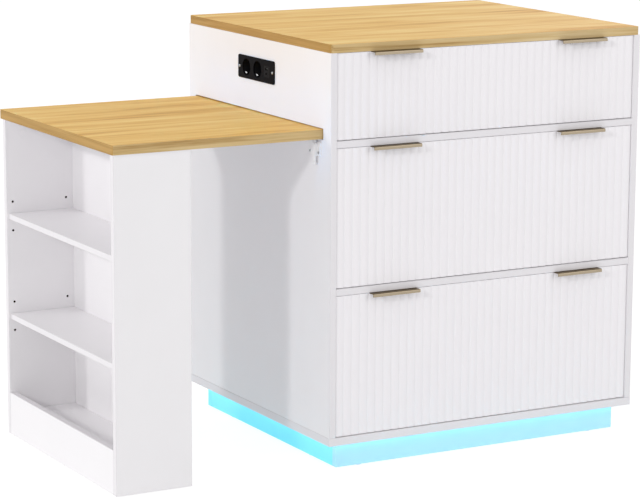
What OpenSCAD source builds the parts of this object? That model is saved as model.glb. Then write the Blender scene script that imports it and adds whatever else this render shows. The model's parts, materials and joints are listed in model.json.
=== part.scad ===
// Kitchen island unit: a cabinet of three ribbed drawers under an oak worktop, a side table that
// slides out through a slot on a pillar of open shelves, a socket plate and a lit plinth.
// Millimetres. +X runs along the table to the cabinet, +Y front to back, +Z up.
// At rest the drawers are shut and the table is drawn out.

/* [Cabinet] */
// Width over the side panels
cab_w = 775; // [650:5:900]
// Depth, front edges to back
cab_d = 660; // [620:5:720]
// Height of the worktop's face
cab_h = 910; // [880:5:960]
// Thickness of the side panels, dividers and pillar boards
board_t = 15; // [15:1:18]
// Thickness of the worktop
worktop_t = 18; // [16:1:30]
// Thickness of the bottom board, whose edges show under the side panels
bottom_t = 18; // [15:1:22]
// Thickness of the back panel
back_t = 12; // [8:1:15]
// Corner radius of the worktop in plan
worktop_r = 10; // [2:1:20]
// Height of the lower divider's underside
lower_divider_z = 381; // [340:1:420]

/* [Plinth] */
// Height of the plinth, floor to bottom board
plinth_h = 57; // [50:1:80]
// Setback of the plinth at the front and back
plinth_in = 27; // [24:1:60]
// Setback of the plinth at the sides
plinth_side_in = 31; // [24:1:60]
// Thickness of the plinth boards
plinth_t = 15; // [12:1:18]
// Height of the plastic glides that the plinth stands on
glide_h = 2; // [1:0.5:4]
// Radius of a glide
glide_r = 6; // [4:0.5:7]

/* [Drawers] */
// Thickness of a drawer front at its ribs
front_t = 18; // [16:1:22]
// Setback of the ribs behind the side panels' edges
front_set = 1; // [0.5:0.5:5]
// Gap beside and under a front
front_gap = 1.5; // [1:0.5:4]
// Gap over a front, where the handle's flange lies
front_top_gap = 1.5; // [1.5:0.5:5]
// Width of one rib, before it is fitted to a whole number
rib_pitch = 19.5; // [15:0.5:30]
// Depth of the valley between two ribs
rib_depth = 2.2; // [1:0.1:4]
// Thickness of the box's sides and back
box_t = 12; // [10:1:15]
// Thickness of the box's bottom
box_bottom_t = 5; // [3:1:6]
// Depth of the box behind its front
box_depth = 450; // [400:10:520]
// Drop from the front's top edge to the box's top edge
box_drop = 25; // [20:1:60]
// Rise from the compartment's floor to the box
box_rise = 12; // [8:1:20]
// Space between the table's face and the upper box
box_over_table = 7; // [5:1:15]
// Depth of the groove that the bottom sits in
groove_d = 5; // [3:0.5:6]
// Height of the bottom over the box's lower edge
bottom_up = 10; // [8:1:15]

/* [Runners] */
// Height of a runner
runner_h = 35; // [27:1:45]
// Space between carcass and box that a runner fills
runner_w = 12.7; // [12:0.1:14]
// Sheet thickness of a runner
runner_wall = 1.2; // [1:0.1:1.5]
// Running gap between its two members
runner_play = 0.5; // [0.4:0.1:0.8]
// Height of a runner's middle over the box's lower edge
runner_up = 52; // [40:1:60]
// Reach of a runner's flanges from the carcass
runner_reach = 9.1; // [8:0.1:10]

/* [Handles] */
// Length of a handle
handle_len = 116; // [100:1:200]
// Distance from the cabinet's side to a handle
handle_margin = 96; // [60:1:140]
// Sheet thickness of a handle
handle_t = 1; // [0.8:0.1:1.2]
// Height of the lip that hangs before the front
lip_h = 7; // [6:0.5:14]
// Reach of the lip before the cabinet's front plane
lip_out = 15; // [9:0.5:20]
// Radius of a handle's corners in plan
handle_r = 4; // [2:0.5:6]
// Distance from a handle's end to its screw
handle_screw_in = 20; // [12:1:40]
// Length of a handle screw
handle_screw_len = 14; // [10:1:18]

/* [Table] */
// Reach of the table beyond the cabinet's side
table_out = 478; // [440:1:560]
// Length of the table that stays in the cabinet
table_in = 430; // [320:1:440]
// Drop from the worktop's face to the table's
slab_drop = 180; // [160:1:200]
// Thickness of the table board
table_t = 20; // [18:1:22]
// Distance from the cabinet's front and back to the table's edges
table_inset = 35; // [34:1:60]
// Corner radius of the table in plan
table_r = 4; // [2:1:10]
// Gap between the table's edges and the slot's ends
slot_play = 3; // [2:0.5:5]
// Gap over the table in the slot
slot_head = 2; // [1.5:0.5:4]
// Thickness of the felt strips that the table slides on
strip_t = 1.2; // [0.8:0.1:2]
// Width of a felt strip
strip_w = 20; // [12:1:30]
// Gap between the table and what guides it
guide_play = 0.3; // [0.2:0.1:0.6]

/* [Pillar] */
// Width of the pillar along the table
pillar_w = 172; // [150:1:180]
// Overhang of the table past the pillar's open face
pillar_over = 4; // [0:1:20]
// Overhang of the table past the pillar's near and far faces
pillar_side_over = 6; // [0:1:20]
// Height of the pillar's boards over the floor
pillar_lift = 3; // [2:0.5:5]
// Thickness of the two adjustable shelves
shelf_t = 13; // [12:0.5:16]
// Setback of the shelves from the pillar's open face
shelf_set = 5; // [0:1:20]
// Gap round a shelf
shelf_play = 0.3; // [0.2:0.1:1]
// Height of the lower shelf's pins
lower_pin_z = 271; // [220:1:300]
// Height of the upper shelf's pins
upper_pin_z = 495; // [440:1:540]
// Pitch of the pin holes
pin_pitch = 32; // [25:1:40]
// Radius of a shelf pin
pin_r = 2.5; // [2:0.1:3]
// Gap round a shelf pin
pin_play = 0.1; // [0.05:0.05:0.2]
// Length of a shelf pin
pin_len = 16; // [12:1:18]
// Distance from the open face to the front pins
pin_front = 14; // [10:1:40]
// Distance from the back panel to the rear pins
pin_back = 16; // [10:1:40]
// Height of the toe board's top edge
toe_h = 98; // [80:1:120]
// Height of the pillar's floor board's face
pillar_floor_z = 56; // [54:1:70]

/* [Castors] */
// Radius of a castor wheel
wheel_r = 16; // [14:0.5:17]
// Width of a castor wheel
wheel_w = 14; // [10:1:18]
// Radius of the axle
axle_r = 2.5; // [2:0.1:3]
// Running gap between axle and wheel
axle_play = 0.08; // [0.05:0.01:0.1]
// Sheet thickness of the fork
fork_t = 1.5; // [1:0.1:2.5]
// Gap between wheel and fork
fork_gap = 0.8; // [0.5:0.1:1.5]
// Distance from a pillar panel to the wheel's middle
castor_in = 22; // [18:1:60]

/* [Sockets] */
// Distance from the cabinet's front to the plate's middle
plate_y = 328.5; // [280:0.5:360]
// Drop from the worktop's face to the plate's middle
plate_drop = 86.5; // [80:0.5:95]
// Length of the plate
plate_len = 166; // [160:1:200]
// Height of the plate
plate_h = 50; // [48:1:54]
// Thickness of the plate
plate_t = 3; // [2:0.5:5]
// Corner radius of the plate
plate_r = 5; // [2:0.5:8]
// Radius of a socket's recess
recess_r = 18.5; // [18:0.1:19]
// Depth of a socket's recess behind the plate
recess_d = 16; // [14:0.5:18]
// Wall of a socket insert
insert_wall = 2.2; // [1.5:0.1:2.5]
// Distance between the two sockets' middles
socket_pitch = 51; // [48:0.5:54]
// Offset of the rear socket from the plate's middle
socket_off = 44; // [42:0.5:46]
// Offset of the charging ports from the plate's middle
usb_off = -50; // [-52:0.5:-48]
// Length of the charging module
usb_len = 26; // [22:1:30]
// Depth of the charging module behind the plate
usb_depth = 16; // [12:1:20]
// Height of the charging module
usb_h = 24; // [20:1:30]
// Depth of the back box inside the cabinet
back_box_d = 36; // [34:1:40]
// Wall of the back box
back_box_wall = 2; // [1.5:0.5:3]
// Radius of the supply cable
cable_r = 3.5; // [3:0.1:4.5]
// Width of the wiring duct behind the sockets
duct_w = 42; // [40:1:60]
// Thickness of the panel that closes the duct
duct_t = 12; // [10:1:15]

/* [Lock] */
// Distance from the cabinet's front to the bolt
latch_y = 57; // [56:1:90]
// Distance from the bolt to the middle of the lock's plate
latch_plate_off = 7; // [0:0.5:10]
// Distance from the cabinet's side to the bolt's axis
latch_x = 5.8; // [5.8:0.1:6.5]
// Radius of the bolt
bolt_r = 3; // [2.5:0.1:3.2]
// Gap round the bolt
bolt_play = 0.3; // [0.2:0.05:0.5]
// Travel of the bolt
bolt_travel = 12; // [8:1:14]
// Gap between the bolt's tip and the table when it is drawn down
bolt_gap = 4; // [2:0.5:6]
// Gap between the pillar and the lock when the table is pushed in
park_gap = 3; // [2:0.5:10]

/* [Lights] */
// Width of the light tape
tape_w = 10; // [8:1:12]
// Thickness of the light tape
tape_t = 1.5; // [1:0.1:2]
// Distance from the plinth to the tape
tape_gap = 6; // [4:1:12]
// Spacing of the diodes
diode_pitch = 33; // [20:1:60]
// Side of a diode
diode_w = 5; // [3:0.5:6]
// Thickness of a diode
diode_t = 1.4; // [1:0.1:2]

/* [Hidden] */
$fn = 48;
rib_steps = 6;
eps = 0.01;
// How far a cut runs past the face that it opens
over = 1;
// Gap round a part that is fitted by hand
fit = 0.1;
// What the pieces of the carcass share
carcass_z0 = plinth_h + bottom_t;
carcass_z1 = cab_h - worktop_t;
inner_x0 = board_t;
inner_x1 = cab_w - board_t;
inner_y1 = cab_d - back_t;
// Table and slot
table_face_z = cab_h - slab_drop;
table_z0 = table_face_z - table_t;
slot_z0 = table_z0 - guide_play - strip_t;
slot_z1 = table_face_z + slot_head;
table_y0 = table_inset;
table_y1 = cab_d - table_inset;
upper_divider_z = slot_z0 - board_t;
// Compartments of the upper, middle and lower drawer: floor and ceiling
floors = [slot_z0, lower_divider_z + board_t, carcass_z0];
ceilings = [carcass_z1, upper_divider_z, lower_divider_z];
front_back = front_set + front_t;
front_x0 = inner_x0 + front_gap;
front_w = inner_x1 - inner_x0 - 2 * front_gap;
ribs = round(front_w / rib_pitch);
duct_x0 = inner_x0 + duct_w;
function front_z0(k) = floors[k] + front_gap;
function front_z1(k) = ceilings[k] - front_top_gap;
function box_z0(k) = k == 0 ? table_face_z + box_over_table : floors[k] + box_rise;
function box_z1(k) = front_z1(k) - box_drop;
function bay_x0(k) = k == 0 ? duct_x0 + duct_t : inner_x0;
function box_x0(k) = bay_x0(k) + runner_w;
box_x1 = inner_x1 - runner_w;
box_y1 = front_back + box_depth;
handle_xs = [handle_margin, cab_w - handle_margin - handle_len];
// Pillar
px0 = pillar_over - table_out;
px1 = px0 + pillar_w;
py0 = table_y0 + pillar_side_over;
py1 = table_y1 - pillar_side_over;
shelf_pin_zs = [lower_pin_z, upper_pin_z];
pin_xs = [px0 + pin_front, px1 - board_t - pin_back];
pin_bore_r = pin_r + pin_play;
pin_in = pin_len / 2;
castor_x = (px0 + px1) / 2;
castor_ys = [py0 + board_t + castor_in, py1 - board_t - castor_in];
castor_top = pillar_floor_z - board_t;
castor_plate = [34, 28, 2.5];
fork_len = 16;
fork_foot = 6;
axle_head = 1.5;
wheel_edge = 1.5;
// Lock
latch_plate = [3, 52, 30];
latch_r = 4;
latch_body = [11, 15, 28];
latch_drop = 8;
latch_body_z1 = slot_z0 - latch_drop;
latch_plate_up = 2;
latch_plate_z1 = latch_body_z1 + latch_plate_up;
latch_screw_dy = 18.3;
latch_screw_drop = 22.5;
latch_screw_z = latch_plate_z1 - latch_screw_drop;
knob_r = 5;
knob_h = 3;
knob_gap = 2;
bolt_tip = table_z0 - bolt_gap;
knob_z1 = latch_body_z1 - latch_body[2] - bolt_travel - knob_gap;
table_travel = -px1 - latch_body[0] - park_gap;
bolt_slack = 1;
bolt_hole_r = bolt_r + bolt_slack;
bolt_hole_spare = 3;
bolt_hole_d = bolt_travel - bolt_gap + bolt_hole_spare;
// Fittings
cam_edge = 80;
cam_ys = [cam_edge, cab_d - cam_edge];
cam_in = 34;
cam_r = 7.5;
cam_h = 12;
cam_bite = 9;
cam_bolt_r = 2.5;
cam_shank_r = 3;
cam_bore_r = 4;
cam_bolt_end = 4;
pillar_cam_front = 40;
pillar_cam_rear = 50;
pillar_cam_xs = [px0 + pillar_cam_front, px1 - pillar_cam_rear];
screw_r = 1.6;
screw_len = 11;
screw_head_r = 3.4;
screw_head_h = 1.2;
// Sockets, seen from the cabinet's side: the plate laps the panel round its cut-out
plate_z = cab_h - plate_drop;
plate_lap = 14;
insert_r = recess_r + insert_wall;
insert_gap = 1;
insert_floor = 4;
plate_cut = [plate_len - 2 * plate_lap, 2 * (insert_r + insert_gap)];
plate_screw_dy = plate_len / 2 - plate_lap / 2;
socket_ys = [plate_y + socket_off, plate_y + socket_off - socket_pitch];
contact_in = 9.5;
contact_turn = 45;
contact_r = 2.6;
contact_d = 3;
usb_y = plate_y + usb_off;
box_half_y = plate_cut[0] / 2 + back_box_wall + insert_gap;
box_half_z = plate_cut[1] / 2 + back_box_wall + insert_gap;
gland_out = 4;
gland_r = 8;
gland_flange_r = 12;
gland_nut = 6;
gland_z = plate_z;
gland_x = inner_x0 + back_box_d / 2;
gland_y0 = inner_y1 - gland_nut;
cable_end_gap = 0.3;
cable_end_in = 4;
driver_size = [140, 46, 30];
driver_r = 4;
driver_in = 20;
duct_lift = 2;
plinth_x0 = plinth_side_in;
plinth_x1 = cab_w - plinth_side_in;
plinth_y0 = plinth_in;
plinth_y1 = cab_d - plinth_in;
glide_in_x = 60;
glide_in_y = 120;
tape_break = 1;
flange_in = 2;
handle_screw_back = 1;
bottom_play = 0.3;
usb_slots = [[13, 5], [9.2, 3.4]];
usb_slot_zs = [5, -5.3];
usb_slot_ds = [12, 10];

white = [0.93, 0.92, 0.93];
oak = [0.87, 0.73, 0.49];
bronze = [0.6, 0.54, 0.43];
steel = [0.7, 0.7, 0.72];
black = [0.1, 0.1, 0.11];

// The row's origin is under the middle of everything, so the cabinet is moved there
module place() {
  translate([-(cab_w - table_out) / 2, -(cab_d + gland_out - lip_out) / 2, 0]) children();
}

// A board between two opposite corners
module board(low, high) {
  translate(low) cube(high - low);
}

module rounded_rect(size, r) {
  translate([r, 0]) square([size[0] - 2 * r, size[1]]);
  translate([0, r]) square([size[0], size[1] - 2 * r]);
  for (x = [r, size[0] - r], y = [r, size[1] - r]) translate([x, y]) circle(r);
}

// Drawings in the YZ plane drawn out along X, and in the XZ plane along Y
module along_x(x0, len) {
  translate([x0, 0, 0]) rotate([90, 0, 90]) linear_extrude(len) children();
}
module along_y(y0, len) {
  translate([0, y0 + len, 0]) rotate([90, 0, 0]) linear_extrude(len) children();
}
module rod_x(at, len, r) {
  translate(at) rotate([0, 90, 0]) cylinder(h = len, r = r);
}
module rod_y(at, len, r) {
  translate(at) rotate([-90, 0, 0]) cylinder(h = len, r = r);
}

// ---- cam fittings: the joint plane is z = 0, the carried board stands on +Z, its pocket opens to +X
module cam_cut() {
  translate([0, 0, -cam_bite - fit]) cylinder(h = cam_bite + 2 * fit, r = cam_bolt_r + fit);
  cylinder(h = cam_in, r = cam_bore_r);
  rod_x([board_t / 2 - cam_h - fit, 0, cam_in], cam_h + fit + over, cam_r + fit);
}
module cam_bolt() {
  translate([0, 0, -cam_bite]) cylinder(h = cam_bite + eps, r = cam_bolt_r);
  cylinder(h = cam_in - cam_bolt_end, r = cam_shank_r);
}
module cam_disc() {
  difference() {
    rod_x([board_t / 2 - cam_h, 0, cam_in], cam_h - fit, cam_r);
    translate([0, 0, cam_in - cam_r - over])
      cylinder(h = cam_r + over + cam_bolt_end, r = (cam_shank_r + cam_bore_r) / 2);
  }
}
module at_divider_cams(z) {
  for (y = cam_ys) {
    translate([inner_x0, y, z + board_t / 2]) rotate([0, 90, 0]) children();
    translate([inner_x1, y, z + board_t / 2]) rotate([0, 90, 180]) children();
  }
}
module at_side_cams() {
  for (y = cam_ys) {
    translate([board_t / 2, y, carcass_z0]) children();
    translate([cab_w - board_t / 2, y, carcass_z0]) rotate([0, 0, 180]) children();
    translate([board_t / 2, y, carcass_z1]) rotate([180, 0, 0]) children();
    translate([cab_w - board_t / 2, y, carcass_z1]) rotate([180, 0, 180]) children();
  }
}
module at_cabinet_cams() {
  at_divider_cams(upper_divider_z) children();
  at_divider_cams(lower_divider_z) children();
  at_side_cams() children();
}
module at_pillar_cams() {
  for (x = pillar_cam_xs) {
    translate([x, py0 + board_t / 2, table_z0]) rotate([180, 0, 90]) children();
    translate([x, py1 - board_t / 2, table_z0]) rotate([180, 0, -90]) children();
  }
}

// ---- carcass
module worktop() {
  color(oak) place() difference() {
    translate([0, 0, carcass_z1]) linear_extrude(worktop_t) rounded_rect([cab_w, cab_d], worktop_r);
    at_side_cams() cam_cut();
  }
}
module at_plate_screws() {
  for (dy = [-plate_screw_dy, plate_screw_dy]) translate([-plate_t, plate_y + dy, plate_z]) children();
}
module at_latch_screws() {
  for (dy = [-latch_screw_dy, latch_screw_dy])
    translate([-latch_plate[0], latch_y + latch_plate_off + dy, latch_screw_z]) children();
}
module screw_bore() {
  rod_x([-over, 0, 0], screw_len + 2 * over, screw_r + fit);
}
module left_side_panel() {
  color(white) place() difference() {
    board([0, 0, carcass_z0], [board_t, cab_d, carcass_z1]);
    board([-over, table_y0 - slot_play, slot_z0], [board_t + over, table_y1 + slot_play, slot_z1]);
    board([-over, plate_y - plate_cut[0] / 2, plate_z - plate_cut[1] / 2],
          [board_t + over, plate_y + plate_cut[0] / 2, plate_z + plate_cut[1] / 2]);
    at_plate_screws() screw_bore();
    at_latch_screws() screw_bore();
    at_cabinet_cams() cam_cut();
  }
}
module right_side_panel() {
  color(white) place() difference() {
    board([inner_x1, 0, carcass_z0], [cab_w, cab_d, carcass_z1]);
    at_cabinet_cams() cam_cut();
  }
}
module bottom_board() {
  color(white) place() difference() {
    board([0, 0, plinth_h], [cab_w, cab_d, carcass_z0]);
    at_side_cams() cam_cut();
  }
}
module back_panel() {
  color(white) place() difference() {
    board([inner_x0, inner_y1, carcass_z0], [inner_x1, cab_d, carcass_z1]);
    rod_y([gland_x, inner_y1 - over, gland_z], back_t + 2 * over, gland_r + fit);
  }
}
module divider(z) {
  color(white) place() difference() {
    board([inner_x0, 0, z], [inner_x1, inner_y1, z + board_t]);
    at_divider_cams(z) cam_cut();
  }
}
module wiring_duct_panel() {
  color(white) place()
    board([duct_x0, front_back + front_gap, slot_z1 + duct_lift],
          [duct_x0 + duct_t, inner_y1, carcass_z1]);
}
// Two battens keep the table square and two felt strips carry it
module table_guides() {
  color(white) place() {
    board([inner_x0, front_back + front_gap, slot_z0], [inner_x1, table_y0 - guide_play, table_face_z]);
    board([inner_x0, table_y1 + guide_play, slot_z0], [inner_x1, inner_y1, table_face_z]);
    for (y = [table_y0 + strip_w, table_y1 - 2 * strip_w])
      board([0, y, slot_z0], [inner_x1, y + strip_w, slot_z0 + strip_t]);
  }
}

// ---- plinth and lights
module plinth_front() {
  color("paleturquoise") place()
    board([plinth_x0, plinth_y0, glide_h], [plinth_x1, plinth_y0 + plinth_t, plinth_h]);
}
module plinth_back() {
  color("paleturquoise") place()
    board([plinth_x0, plinth_y1 - plinth_t, glide_h], [plinth_x1, plinth_y1, plinth_h]);
}
module plinth_sides() {
  color("paleturquoise") place() for (x = [plinth_x0, plinth_x1 - plinth_t])
    board([x, plinth_y0 + plinth_t, glide_h], [x + plinth_t, plinth_y1 - plinth_t, plinth_h]);
}
module floor_glides() {
  half = plinth_t / 2;
  color(black) place() {
    for (x = [plinth_x0 + glide_in_x, plinth_x1 - glide_in_x], y = [plinth_y0 + half, plinth_y1 - half])
      translate([x, y, 0]) cylinder(h = glide_h, r = glide_r);
    for (x = [plinth_x0 + half, plinth_x1 - half], y = [plinth_y0 + glide_in_y, plinth_y1 - glide_in_y])
      translate([x, y, 0]) cylinder(h = glide_h, r = glide_r);
  }
}
// One run of tape with its diodes, drawn along X from the origin, face down
module tape_run(len) {
  diodes = floor((len - diode_w) / diode_pitch);
  translate([0, 0, -tape_t]) cube([len, tape_w, tape_t]);
  for (i = [0:diodes])
    translate([(len - diodes * diode_pitch - diode_w) / 2 + i * diode_pitch,
               (tape_w - diode_w) / 2, -tape_t - diode_t])
      cube([diode_w, diode_w, diode_t + eps]);
}
module light_tape() {
  x0 = plinth_x0 - tape_gap - tape_w;
  x1 = plinth_x1 + tape_gap + tape_w;
  y0 = plinth_y0 - tape_gap - tape_w;
  y1 = plinth_y1 + tape_gap + tape_w;
  side_len = y1 - y0 - 2 * tape_w - 2 * tape_break;
  color("aqua") place() {
    translate([x0, y0, plinth_h]) tape_run(x1 - x0);
    translate([x0, y1 - tape_w, plinth_h]) tape_run(x1 - x0);
    for (x = [x0 + tape_w, x1])
      translate([x, y0 + tape_w + tape_break, plinth_h]) rotate([0, 0, 90]) tape_run(side_len);
  }
}
module light_driver() {
  color(white) place()
    translate([cab_w / 2 - driver_size[0] / 2, plinth_y1 - plinth_t - driver_in - driver_size[1],
               plinth_h - driver_size[2]])
      linear_extrude(driver_size[2]) rounded_rect([driver_size[0], driver_size[1]], driver_r);
}

// ---- sockets
module socket_plate() {
  color(black) place() difference() {
    along_x(-plate_t, plate_t) translate([plate_y - plate_len / 2, plate_z - plate_h / 2])
      rounded_rect([plate_len, plate_h], plate_r);
    for (y = socket_ys) rod_x([-plate_t - over, y, plate_z], plate_t + 2 * over, recess_r);
    board([-plate_t - over, usb_y - usb_len / 2 - fit, plate_z - usb_h / 2 - fit],
          [over, usb_y + usb_len / 2 + fit, plate_z + usb_h / 2 + fit]);
    at_plate_screws() screw_bore();
  }
}
module socket_inserts() {
  color(black) place() for (y = socket_ys) difference() {
    rod_x([0, y, plate_z], recess_d + insert_floor, insert_r);
    rod_x([-over, y, plate_z], recess_d + over, recess_r);
    for (a = [contact_turn, contact_turn + 180])
      rod_x([recess_d - over, y + contact_in * cos(a), plate_z + contact_in * sin(a)],
            contact_d + over, contact_r);
  }
}
module charging_module() {
  color(black) place() difference() {
    board([-plate_t, usb_y - usb_len / 2, plate_z - usb_h / 2],
          [usb_depth, usb_y + usb_len / 2, plate_z + usb_h / 2]);
    for (i = [0, 1]) translate([-plate_t, usb_y, plate_z + usb_slot_zs[i]])
      board([-over, -usb_slots[i][0] / 2, -usb_slots[i][1] / 2],
            [usb_slot_ds[i], usb_slots[i][0] / 2, usb_slots[i][1] / 2]);
  }
}
module socket_back_box() {
  wall = back_box_wall;
  color(black) place() translate([inner_x0, plate_y, plate_z]) difference() {
    board([0, -box_half_y, -box_half_z], [back_box_d, box_half_y, box_half_z]);
    board([-over, wall - box_half_y, wall - box_half_z],
          [back_box_d - wall, box_half_y - wall, box_half_z - wall]);
    rod_y([gland_x - inner_x0, box_half_y - wall - over, 0], wall + 2 * over, cable_r + fit);
  }
}
module socket_cable() {
  y0 = plate_y + box_half_y - back_box_wall - cable_end_in;
  color("dimgray") place() rod_y([gland_x, y0, gland_z], gland_y0 - cable_end_gap - y0, cable_r);
}
module cable_gland() {
  color(black) place() difference() {
    union() {
      rod_y([gland_x, gland_y0, gland_z], cab_d + eps - gland_y0, gland_r);
      rod_y([gland_x, cab_d, gland_z], gland_out, gland_flange_r);
      rod_y([gland_x, gland_y0, gland_z], gland_nut, gland_flange_r);
    }
    rod_y([gland_x, gland_y0 - over, gland_z], cab_d + gland_out - gland_y0 + 2 * over, cable_r + fit);
  }
}

// ---- table lock
module lock_housing() {
  z0 = latch_body_z1 - latch_body[2];
  color(white) place() difference() {
    union() {
      along_x(-latch_plate[0], latch_plate[0])
        translate([latch_y + latch_plate_off - latch_plate[1] / 2, latch_plate_z1 - latch_plate[2]])
          rounded_rect([latch_plate[1], latch_plate[2]], latch_r);
      board([-latch_body[0], latch_y - latch_body[1] / 2, z0],
            [-latch_plate[0] + eps, latch_y + latch_body[1] / 2, latch_body_z1]);
    }
    translate([-latch_x, latch_y, z0 - over])
      cylinder(h = latch_body[2] + latch_plate_up + 2 * over, r = bolt_r + bolt_play);
    at_latch_screws() screw_bore();
  }
}
module lock_bolt() {
  color(white) place() translate([-latch_x, latch_y, 0]) {
    translate([0, 0, knob_z1 - eps]) cylinder(h = bolt_tip - knob_z1 + eps, r = bolt_r);
    translate([0, 0, knob_z1 - knob_h]) cylinder(h = knob_h, r = knob_r);
  }
}
module small_screw() {
  rod_x([-screw_head_h, 0, 0], screw_head_h, screw_head_r);
  rod_x([-eps, 0, 0], screw_len, screw_r);
}
module small_screws() {
  color(steel) place() {
    at_plate_screws() small_screw();
    at_latch_screws() small_screw();
  }
}
module cam_bolts() {
  color(steel) place() at_cabinet_cams() cam_bolt();
}
module cam_discs() {
  color(steel) place() at_cabinet_cams() cam_disc();
}

// ---- runners: each is drawn for a left face at x = 0 and middle height z = 0, and mirrored for the right
module runner_member() {
  along_y(front_back + front_gap, box_depth - front_gap) difference() {
    translate([0, -runner_h / 2]) square([runner_reach, runner_h]);
    translate([runner_wall, -runner_h / 2 + runner_wall])
      square([runner_w, runner_h - 2 * runner_wall]);
  }
}
module slide_member() {
  half = runner_h / 2 - runner_wall - runner_play;
  along_y(front_back + front_gap, box_depth - front_gap) difference() {
    translate([2 * runner_wall, -half]) square([runner_w - 2 * runner_wall, 2 * half]);
    translate([0, -half + runner_wall])
      square([runner_w - runner_wall, 2 * (half - runner_wall)]);
  }
}
module both_sides(k) {
  translate([bay_x0(k), 0, box_z0(k) + runner_up]) children();
  translate([inner_x1, 0, box_z0(k) + runner_up]) mirror([1, 0, 0]) children();
}
module runners(k) {
  color(steel) place() both_sides(k) runner_member();
}
module slides(k) {
  color(steel) place() both_sides(k) slide_member();
}

// ---- drawers: k is 0 for the upper, 1 for the middle, 2 for the lower
function rib_face() = [for (i = [0:ribs - 1], s = [0:rib_steps - 1])
  let (u = s / rib_steps)
  [(i + u) * front_w / ribs, front_set + rib_depth * pow(2 * u - 1, 2)]];
module drawer_front(k) {
  color(white) place() difference() {
    translate([front_x0, 0, front_z0(k)]) linear_extrude(front_z1(k) - front_z0(k))
      polygon(concat(rib_face(),
                     [[front_w, front_set + rib_depth], [front_w, front_back], [0, front_back]]));
    board([box_x0(k) + box_t - groove_d, front_back - groove_d, box_z0(k) + bottom_up - fit],
          [box_x1 - box_t + groove_d, front_back + over, box_z0(k) + bottom_up + box_bottom_t + fit]);
    at_handle_screws(k) translate([0, 0, -handle_screw_len - over])
      cylinder(h = handle_screw_len + 2 * over, r = screw_r + fit);
  }
}
module drawer_sides(k) {
  groove_z = box_z0(k) + bottom_up;
  color(white) place() for (x = [box_x0(k), box_x1 - box_t]) difference() {
    board([x, front_back, box_z0(k)], [x + box_t, box_y1, box_z1(k)]);
    board([box_x0(k) + box_t - groove_d, front_back - over, groove_z - fit],
          [box_x1 - box_t + groove_d, box_y1 + over, groove_z + box_bottom_t + fit]);
  }
}
module drawer_back(k) {
  color(white) place()
    board([box_x0(k) + box_t, box_y1 - box_t, box_z0(k) + bottom_up + box_bottom_t],
          [box_x1 - box_t, box_y1, box_z1(k)]);
}
module drawer_bottom(k) {
  bite = groove_d - bottom_play;
  color(white) place()
    board([box_x0(k) + box_t - bite, front_back - bite, box_z0(k) + bottom_up],
          [box_x1 - box_t + bite, box_y1, box_z0(k) + bottom_up + box_bottom_t]);
}

// ---- handles: a flange on the front's top edge and a lip before it
module at_handle_screws(k) {
  for (x = handle_xs, dx = [handle_screw_in, handle_len - handle_screw_in])
    translate([x + dx, front_back - front_t / 2 + handle_screw_back, front_z1(k)]) children();
}
module handles(k) {
  z = front_z1(k);
  depth = lip_out + front_back - flange_in;
  color(bronze) place() {
    difference() {
      for (x = handle_xs) intersection() {
        along_x(x, handle_len) {
          translate([-lip_out, z]) square([depth, handle_t]);
          translate([-lip_out, z + handle_t - lip_h]) square([handle_t, lip_h]);
        }
        translate([x, -lip_out, z - lip_h]) linear_extrude(lip_h + handle_t)
          rounded_rect([handle_len, depth], handle_r);
      }
      at_handle_screws(k) translate([0, 0, -over])
        cylinder(h = handle_t + 2 * over, r = screw_head_r + fit);
    }
    at_handle_screws(k) {
      translate([0, 0, -handle_screw_len]) cylinder(h = handle_screw_len + eps, r = screw_r);
      cylinder(h = handle_t, r = screw_head_r);
    }
  }
}

// ---- table and its pillar
module table_board() {
  color(oak) place() difference() {
    translate([-table_out, table_y0, table_z0]) linear_extrude(table_t)
      rounded_rect([table_out + table_in, table_y1 - table_y0], table_r);
    for (x = [-latch_x, -latch_x - table_travel])
      translate([x, latch_y, table_z0 - over]) cylinder(h = bolt_hole_d + over, r = bolt_hole_r);
    at_pillar_cams() cam_cut();
  }
}
module at_pins(y, depth) {
  for (x = pin_xs, z = shelf_pin_zs, step = [-1, 0, 1])
    rod_y([x, y, z + step * pin_pitch], depth, pin_bore_r);
}
module pillar_near_panel() {
  color(white) place() difference() {
    board([px0, py0, pillar_lift], [px1, py0 + board_t, table_z0]);
    at_pins(py0 + board_t - pin_in - fit, pin_in + over);
    at_pillar_cams() cam_cut();
  }
}
module pillar_far_panel() {
  color(white) place() difference() {
    board([px0, py1 - board_t, pillar_lift], [px1, py1, table_z0]);
    at_pins(py1 - board_t + fit - over, pin_in + over);
    at_pillar_cams() cam_cut();
  }
}
module pillar_back_panel() {
  color(white) place()
    board([px1 - board_t, py0 + board_t, pillar_lift], [px1, py1 - board_t, table_z0]);
}
module pillar_shelf(z) {
  y0 = py0 + board_t + shelf_play;
  y1 = py1 - board_t - shelf_play;
  color(white) place() difference() {
    board([px0 + shelf_set, y0, z - shelf_t / 2], [px1 - board_t - shelf_play, y1, z + shelf_t / 2]);
    for (x = pin_xs) {
      rod_y([x, y0 - over, z], pin_in + fit + over, pin_bore_r);
      rod_y([x, y1 - pin_in - fit, z], pin_in + fit + over, pin_bore_r);
    }
  }
}
module pillar_floor_board() {
  color(white) place()
    board([px0 + board_t, py0 + board_t, castor_top], [px1 - board_t, py1 - board_t, pillar_floor_z]);
}
module pillar_toe_board() {
  color(white) place()
    board([px0, py0 + board_t, pillar_lift], [px0 + board_t, py1 - board_t, toe_h]);
}
module shelf_pins() {
  color(steel) place()
    for (x = pin_xs, z = shelf_pin_zs, y = [py0 + board_t - pin_in, py1 - board_t - pin_in])
      rod_y([x, y, z], pin_len, pin_r);
}
module pillar_fittings() {
  color(steel) place() at_pillar_cams() {
    cam_bolt();
    cam_disc();
  }
}

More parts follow.
